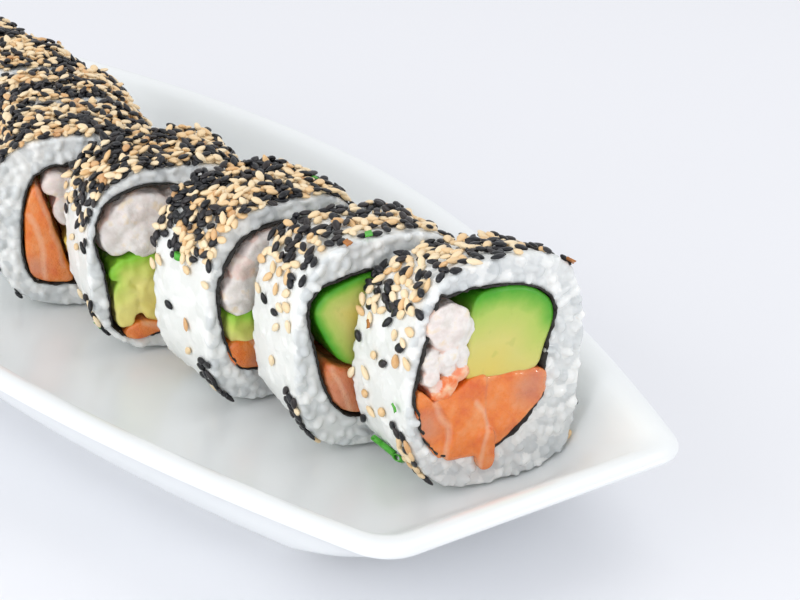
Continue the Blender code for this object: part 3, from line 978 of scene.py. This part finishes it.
def bit_shape(length):
    """A thin torn bit, flat and a little bent."""
    bm = bmesh.new()
    bmesh.ops.create_grid(bm, x_segments=6, y_segments=4, size=0.5)
    for vertex in bm.verts:
        x, y = vertex.co.x, vertex.co.y
        ragged = 1.0 + 0.35 * noise.noise(Vector((x * 3, y * 3, length)))
        vertex.co = Vector((x * length * ragged, y * length * 0.55 * ragged,
                            0.5 * x * x + 0.2 * y)) * MM
    sheet = bmesh.ops.extrude_face_region(bm, geom=bm.faces[:])
    lifted = [item for item in sheet["geom"] if isinstance(item, bmesh.types.BMVert)]
    bmesh.ops.translate(bm, verts=lifted, vec=(0, 0, 0.28 * MM))
    return bm


def make_garnish(pieces, herb, flake):
    for name, material, kinds, height in (("chive_bits", herb, ("ring", "bit"), 0.75),
                                          ("onion_flakes", flake, ("flake",), 0.35)):
        points, faces = [], []
        for number, at, depth, kind, turn, size in GARNISH:
            if kind not in kinds:
                continue
            bm = ring_shape(size) if kind == "ring" else bit_shape(size)
            bmesh.ops.recalc_face_normals(bm, faces=bm.faces)
            piece = pieces[number - 1]
            local, normal = on_side(piece, [at], [depth * MM], [height * MM])
            along = np.array([(0.0, 0.0, 1.0)])
            axes = random_axes(normal, along, np.radians([turn]), np.array([0.08]))
            shape, shape_faces = as_arrays(bm)
            faces += [tuple(corner + len(points) for corner in face) for face in shape_faces]
            points += list(piece.world(shape @ axes[0] + local))
        obj = add_mesh(name, points, faces, material)
        keep(obj, "herb" if material is herb else "sesame_tan")


# ---------------------------------------------------------------- materials

# What a mix node is set to when it mixes tints
COLOUR = {"data_type": "RGBA"}


def porcelain_glaze():
    """Glazed porcelain, slip-cast and fired: a cool white body under a clear glossy glaze whose
    surface is very slightly uneven."""
    return two_toned(
        "glazed porcelain",
        {"Roughness": 0.28, "IOR": 1.5, "Coat Weight": 0.30, "Coat Roughness": 0.14},
        (40, 2.0), ("#F1F4F4", "#ECEFF0"), relief=(14, 1.0, 0.5, 0.35, 0.35))


def pressed_rice():
    """Cooked short-grain rice, vinegared and pressed: soft and translucent, so light bleeds
    through each grain. Cut grains are wetter and glassier than those of the side, and take greyer,
    bluer tints: partly their translucency, partly painted shade on the cut faces."""
    material, tree, shader, point = new_material("pressed sushi rice", {
        "IOR": 1.40, "Subsurface Weight": 0.55, "Subsurface Scale": 0.9 * MM,
        "Subsurface Radius": (1.0, 0.96, 0.92)}, relief=(1.1, 3.0, 0.5, 0.12, 0.6))
    tone = add_node(tree, "Attribute", {"attribute_name": "tone"}).outputs["Fac"]
    shown = add_node(tree, "Attribute", {"attribute_name": "cut"}).outputs["Fac"]
    side = add_node(tree, "Mix", COLOUR, {"Factor": tone, "A": "#E2E4E0", "B": "#F1F2EF"})
    # Cut-face tints, greyer and bluer at their low end: partly the translucent grains, partly
    # painted shade on the cut faces
    cut = add_node(tree, "Mix", COLOUR, {"Factor": tone, "A": "#CFD3D4", "B": "#F3F4F2"})
    body = add_node(tree, "Mix", COLOUR, {"Factor": shown, "A": side, "B": cut})
    wet = add_node(tree, "MapRange", {}, {"Value": shown, "To Min": 0.45, "To Max": 0.15})
    connect(tree, shader, {"Base Color": body, "Roughness": wet})
    return material


def roasted_nori():
    """Roasted laver sheet, dampened by the rice: nearly black green, finely crinkled."""
    return two_toned("damp nori", {"Roughness": 0.5, "IOR": 1.45}, (1.5, 3.0),
                     ("#0E1210", "#2C2620"), relief=(0.8, 3.0, 0.5, 0.20, 0.7))


def avocado_flesh():
    """Ripe avocado cut with a knife: buttery, bright green under the skin and yellow inside,
    with a few darker fibres. From the third slice on the flesh takes paler, brighter tints: partly
    the mash's own fresher colour, partly painted light against the shade deep between the slices."""
    material, tree, shader, point = new_material("ripe avocado", {
        "Roughness": 0.34, "IOR": 1.42, "Subsurface Weight": 0.25, "Subsurface Scale": 1.5 * MM,
        "Subsurface Radius": (1.0, 1.0, 0.35)}, relief=(1.3, 3.0, 0.5, 0.14, 0.6))
    skin = add_node(tree, "Attribute", {"attribute_name": "skin"}).outputs["Fac"]
    mash_and_painted_light = add_node(tree, "Attribute", {"attribute_name": "mash_and_painted_light"}).outputs["Fac"]
    lumps = add_node(tree, "TexNoise", {}, {
        "Vector": point, "Scale": per_metre(3), "Detail": 3.0})
    uneven = add_node(tree, "Math", {"operation": "MULTIPLY_ADD"}, {0: lumps, 1: 2.0, 2: skin})
    share = add_node(tree, "Math", {"operation": "DIVIDE"}, {0: uneven, 1: 22.0})
    sliced = add_node(tree, "ValToRGB", {}, {"Fac": share}, [
        (0.0, "#2A860C"), (0.10, "#4FA524"), (0.19, "#82B942"), (0.30, "#B6CB62"),
        (0.60, "#D6CF78"), (1.0, "#E0C864")])
    # Paler, brighter tints: the mash's fresher colour, lifted by painted light for the slices that
    # stand in each other's shade
    mash_tints_with_painted_light = add_node(tree, "ValToRGB", {}, {"Fac": share}, [
        (0.0, "#7ACB30"), (0.10, "#A8DC48"), (0.20, "#DDE876"), (0.40, "#F6EC92"),
        (1.0, "#F0D870")])
    body = add_node(tree, "Mix", COLOUR, {"Factor": mash_and_painted_light, "A": sliced, "B": mash_tints_with_painted_light})
    spots = add_node(tree, "TexNoise", {}, {
        "Vector": point, "Scale": per_metre(2.4), "Detail": 1.0})
    fibres = add_node(tree, "ValToRGB", {}, {"Fac": spots}, [(0.66, "#000000"), (0.78, "#808080")])
    body = add_node(tree, "Mix", COLOUR, {"Factor": fibres, "A": body, "B": "#9DB048"})
    connect(tree, shader, {"Base Color": body})
    return material


def raw_salmon():
    """Raw farmed salmon: wet orange muscle in flakes, parted by pale curved fat lines."""
    material, tree, shader, point = new_material("raw salmon", {
        "Roughness": 0.24, "IOR": 1.42, "Coat Weight": 0.8, "Coat Roughness": 0.08,
        "Subsurface Weight": 0.25, "Subsurface Scale": 1.4 * MM,
        "Subsurface Radius": (1.0, 0.40, 0.18)}, relief=(0.7, 4.0, 0.65, 0.34, 1.0))
    across, up, into, pink, fat = (
        add_node(tree, "Attribute", {"attribute_name": name}).outputs["Fac"]
        for name in ("across", "up", "into", "pink", "fat"))
    place = add_node(tree, "CombineXYZ", {}, {"X": across, "Y": up, "Z": into})
    grain = add_node(tree, "TexWave", {"wave_type": "BANDS", "bands_direction": "DIAGONAL"}, {
        "Vector": place, "Scale": 0.30, "Distortion": 3.5, "Detail": 3.0, "Detail Scale": 1.5,
        "Detail Roughness": 0.6})
    clouds = add_node(tree, "TexNoise", {}, {
        "Vector": point, "Scale": per_metre(4.5), "Detail": 4.0, "Roughness": 0.55})
    muscle = add_node(tree, "ValToRGB", {}, {"Fac": clouds}, [
        (0.28, "#E2661C"), (0.5, "#F2842F"), (0.75, "#F6A262")])
    pinker = add_node(tree, "Math", {"operation": "MULTIPLY"}, {0: pink, 1: 0.7})
    muscle = add_node(tree, "Mix", COLOUR, {"Factor": pinker, "A": muscle, "B": "#CB8468"})
    fibre = add_node(tree, "ValToRGB", {}, {"Fac": grain.outputs["Fac"]},
                     [(0.55, "#000000"), (1.0, "#333333")])
    muscle = add_node(tree, "Mix", COLOUR, {"Factor": fibre, "A": muscle, "B": "#F9B888"})
    line = add_node(tree, "ValToRGB", {}, {"Fac": fat}, [(0.10, "#B4B4B4"), (0.95, "#000000")])
    body = add_node(tree, "Mix", COLOUR, {"Factor": line, "A": muscle, "B": "#F8CBAA"})
    connect(tree, shader, {"Base Color": body})
    return material


def cooked_shrimp():
    """Poached shrimp tail: firm white flesh, its outside skinned thinly in pink and orange."""
    material, tree, shader, point = new_material("poached shrimp", {
        "Roughness": 0.30, "IOR": 1.40, "Subsurface Weight": 0.40, "Subsurface Scale": 1.6 * MM,
        "Subsurface Radius": (1.0, 0.94, 0.88)}, relief=(1.2, 4.0, 0.6, 0.28, 0.8))
    rim = add_node(tree, "Attribute", {"attribute_name": "rim"}).outputs["Fac"]
    cooked = add_node(tree, "Attribute", {"attribute_name": "cooked"}).outputs["Fac"]
    clouds = add_node(tree, "TexNoise", {}, {
        "Vector": point, "Scale": per_metre(2.6), "Detail": 3.0})
    flesh = add_node(tree, "ValToRGB", {}, {"Fac": clouds}, [
        (0.33, "#DFDEDA"), (0.55, "#F2F1EF"), (0.75, "#F1E6CC")])
    skin = add_node(tree, "ValToRGB", {}, {"Fac": rim}, [
        (0.88, "#000000"), (1.0, "#5A5A5A"), (1.10, "#A0A0A0")])
    body = add_node(tree, "Mix", COLOUR, {"Factor": skin, "A": flesh, "B": "#E8A07E"})
    streaks = add_node(tree, "TexNoise", {}, {
        "Vector": point, "Scale": per_metre(2.2), "Detail": 3.0})
    streaks = add_node(tree, "ValToRGB", {}, {"Fac": streaks}, [
        (0.42, "#FFFFFF"), (0.70, "#505050")])
    orange = add_node(tree, "Mix", COLOUR, {"Factor": streaks, "A": "#FBD2AC", "B": "#F4782A"})
    body = add_node(tree, "Mix", COLOUR, {"Factor": cooked, "A": body, "B": orange})
    connect(tree, shader, {"Base Color": body})
    return material


def sesame(name, stops, dull):
    """Whole sesame seed, roasted: a satin husk, each seed a shade of its own, with fine mottling
    in the darkest shade."""
    material, tree, shader, point = new_material(
        name, {"Roughness": dull, "IOR": 1.45}, relief=(0.5, 2.0, 0.5, 0.05, 0.6))
    tone = add_node(tree, "Attribute", {"attribute_name": "tone"}).outputs["Fac"]
    shade = add_node(tree, "ValToRGB", {}, {"Fac": tone}, stops)
    mottle = add_node(tree, "TexNoise", {}, {"Vector": point, "Scale": per_metre(0.9)})
    mottle = add_node(tree, "Math", {"operation": "MULTIPLY"}, {0: mottle, 1: 0.5})
    body = add_node(tree, "Mix", COLOUR, {"Factor": mottle, "A": shade, "B": stops[0][1]})
    connect(tree, shader, {"Base Color": body})
    return material


def chive():
    """Cut chive: fresh green, satin, a little paler inside."""
    return two_toned("fresh chive", {
        "Roughness": 0.35, "Subsurface Weight": 0.2, "Subsurface Scale": 0.8 * MM,
        "Subsurface Radius": (0.5, 1.0, 0.3)}, (1.2, 2.0), ("#2F9A22", "#63C03C"))


def fried_onion():
    """Crisp fried onion: thin golden-brown flakes, darker at their edges."""
    return two_toned("fried onion", {"Roughness": 0.4}, (1.0, 3.0), ("#CE8236", "#8A5428"))


def pale_floor():
    """Matt painted board: a plain pale surface, very slightly uneven in tone."""
    return two_toned("pale board", {"Roughness": 0.55}, (300, 2.0), ("#ECEDF1", "#E9EAEE"))


# ---------------------------------------------------------------- stage

def make_floor():
    bm = bmesh.new()
    bmesh.ops.create_grid(bm, x_segments=1, y_segments=1, size=FLOOR_HALF)
    obj = add_mesh("floor", *as_arrays(bm), pale_floor(), smooth=False)


def make_camera():
    azimuth = math.radians(CAMERA_AZIMUTH)
    elevation = math.radians(CAMERA_ELEVATION)
    roll = math.radians(CAMERA_ROLL)
    back = Vector((math.sin(azimuth) * math.cos(elevation),
                   -math.cos(azimuth) * math.cos(elevation), math.sin(elevation)))
    right = Vector((math.cos(azimuth), math.sin(azimuth), 0.0))
    up = back.cross(right)
    right, up = (right * math.cos(roll) + up * math.sin(roll),
                 up * math.cos(roll) - right * math.sin(roll))
    camera = bpy.data.objects.new("camera", bpy.data.cameras.new("camera"))
    camera.data.lens = LENS_MM
    camera.data.clip_start = 0.01
    turn = Matrix((right, up, back)).transposed().to_4x4()
    camera.matrix_world = Matrix.Translation(Vector(LOOK_AT) + back * CAMERA_DISTANCE) @ turn
    bpy.context.scene.collection.objects.link(camera)
    bpy.context.scene.camera = camera


def add_light(name, place, target, size, power, colour="#FFFFFF"):
    data = bpy.data.lights.new(name, "AREA")
    data.shape = "RECTANGLE"
    data.size, data.size_y = size
    data.energy = power
    data.color = linear(colour)[:3]
    light = bpy.data.objects.new(name, data)
    light.location = place
    light.rotation_euler = (Vector(target) - Vector(place)).to_track_quat("-Z", "Y").to_euler()
    bpy.context.scene.collection.objects.link(light)


def make_lights():
    """A big soft window to the left, a weaker one above, pale cards low down and in front, a
    small lamp that makes wet things glint, and a bright room."""
    world = bpy.data.worlds.new("room")
    world.use_nodes = True
    background = world.node_tree.nodes["Background"]
    background.inputs["Color"].default_value = linear("#F8F9FC")
    background.inputs["Strength"].default_value = 0.86
    bpy.context.scene.world = world
    add_light("window", (-0.05, -1.05, 0.50), (0.04, 0.0, 0.03), (1.2, 0.7), 4.2)
    add_light("low card", (0.10, -1.00, 0.16), (0.04, 0.0, 0.02), (1.4, 0.22), 1.6)
    add_light("top", (0.05, 0.45, 1.0), (0.05, 0.0, 0.03), (0.8, 0.8), 2.0)
    add_light("front card", (0.80, -0.50, 0.38), (0.05, 0.0, 0.03), (0.7, 0.5), 0.9)
    add_light("lamp", (0.70, 0.44, 0.14), (0.08, 0.0, 0.03), (0.05, 0.05), 0.60)
    bpy.context.scene.view_settings.view_transform = "Standard"


# ---------------------------------------------------------------- everything

def main():
    pieces = [Slice(number) for number in range(1, SLICE_COUNT + 1)]
    make_plate(porcelain_glaze())
    rice, nori = pressed_rice(), roasted_nori()
    avocado, salmon, shrimp = avocado_flesh(), raw_salmon(), cooked_shrimp()
    grain = grain_template()
    for piece in pieces:
        like = LOOKS_LIKE.get(piece.number, piece.number)
        make_rice(piece, rice, grain)
        make_nori(piece, nori)
        make_avocado(piece, AVOCADO[like], avocado)
        make_salmon(piece, SALMON[like], FAT_LINES[like], PINK_PATCHES[like], salmon)
        make_shrimp(piece, SHRIMP[like], shrimp)
    make_seeds(pieces, {
        "sesame_black": sesame("black sesame", [(0.0, "#0B0C10"), (0.6, "#1B1C22"),
                                                (1.0, "#37302F")], 0.30),
        "sesame_tan": sesame("toasted sesame", [(0.0, "#F6E2BE"), (0.6, "#EFD0A0"),
                                                (0.9, "#E0AE6C"), (1.0, "#C4823C")], 0.38),
    }, seed_template())
    make_garnish(pieces, chive(), fried_onion())
    make_floor()
    make_camera()
    make_lights()


main()
